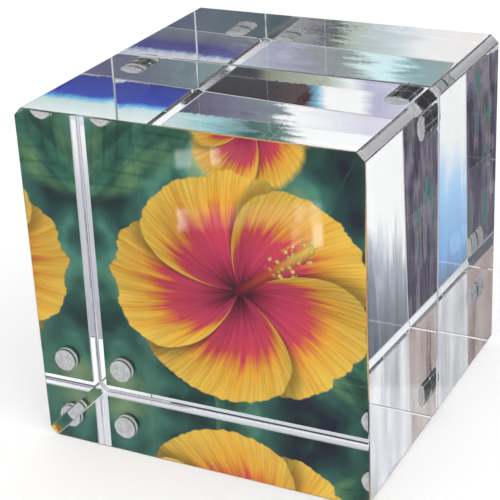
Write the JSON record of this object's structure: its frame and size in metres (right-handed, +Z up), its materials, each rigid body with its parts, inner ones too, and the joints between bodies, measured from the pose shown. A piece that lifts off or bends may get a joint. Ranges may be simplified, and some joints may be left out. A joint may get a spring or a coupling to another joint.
{
  "type": "magnetic photo cube",
  "caption": "Clear acrylic cube photo frame split into front and rear blocks that corner magnets hold together, with photo prints clamped back to back between them.",
  "frame": {"origin": "middle of the underside of the closed cube", "axes": "+Z up, -Y out of the front face, +X to the right as seen from the front"},
  "size_m": [0.0888, 0.089, 0.0889],
  "materials": {
    "clear_acrylic": "polished",
    "plated_magnet": "satin",
    "cured_adhesive": "matte",
    "front_print": "gloss",
    "rear_print": "gloss"
  },
  "bodies": {
    "rear_half": {"rear_block": "clear_acrylic", "rear_magnet_top_left": "plated_magnet", "rear_adhesive_top_left": "cured_adhesive", "rear_magnet_top_right": "plated_magnet", "rear_adhesive_top_right": "cured_adhesive", "rear_magnet_bottom_left": "plated_magnet", "rear_adhesive_bottom_left": "cured_adhesive", "rear_magnet_bottom_right": "plated_magnet", "rear_adhesive_bottom_right": "cured_adhesive"},
    "front_half": {"front_block": "clear_acrylic", "front_magnet_top_left": "plated_magnet", "front_adhesive_top_left": "cured_adhesive", "front_magnet_top_right": "plated_magnet", "front_adhesive_top_right": "cured_adhesive", "front_magnet_bottom_left": "plated_magnet", "front_adhesive_bottom_left": "cured_adhesive", "front_magnet_bottom_right": "plated_magnet", "front_adhesive_bottom_right": "cured_adhesive"},
    "front_photo": {"front_photo": "front_print"},
    "rear_photo": {"rear_photo": "rear_print"}
  },
  "joints": [
    {"name": "front_half_pull", "type": "slide", "parent": "rear_half", "child": "front_half", "axis": [0, -1, 0], "range_m": [0, 0.06]},
    {"name": "front_photo_lift", "type": "slide", "parent": "rear_half", "child": "front_photo", "axis": [0, 0, 1], "range_m": [0, 0.09]},
    {"name": "rear_photo_lift", "type": "slide", "parent": "rear_half", "child": "rear_photo", "axis": [0, 0, 1], "range_m": [0, 0.09]}
  ]
}
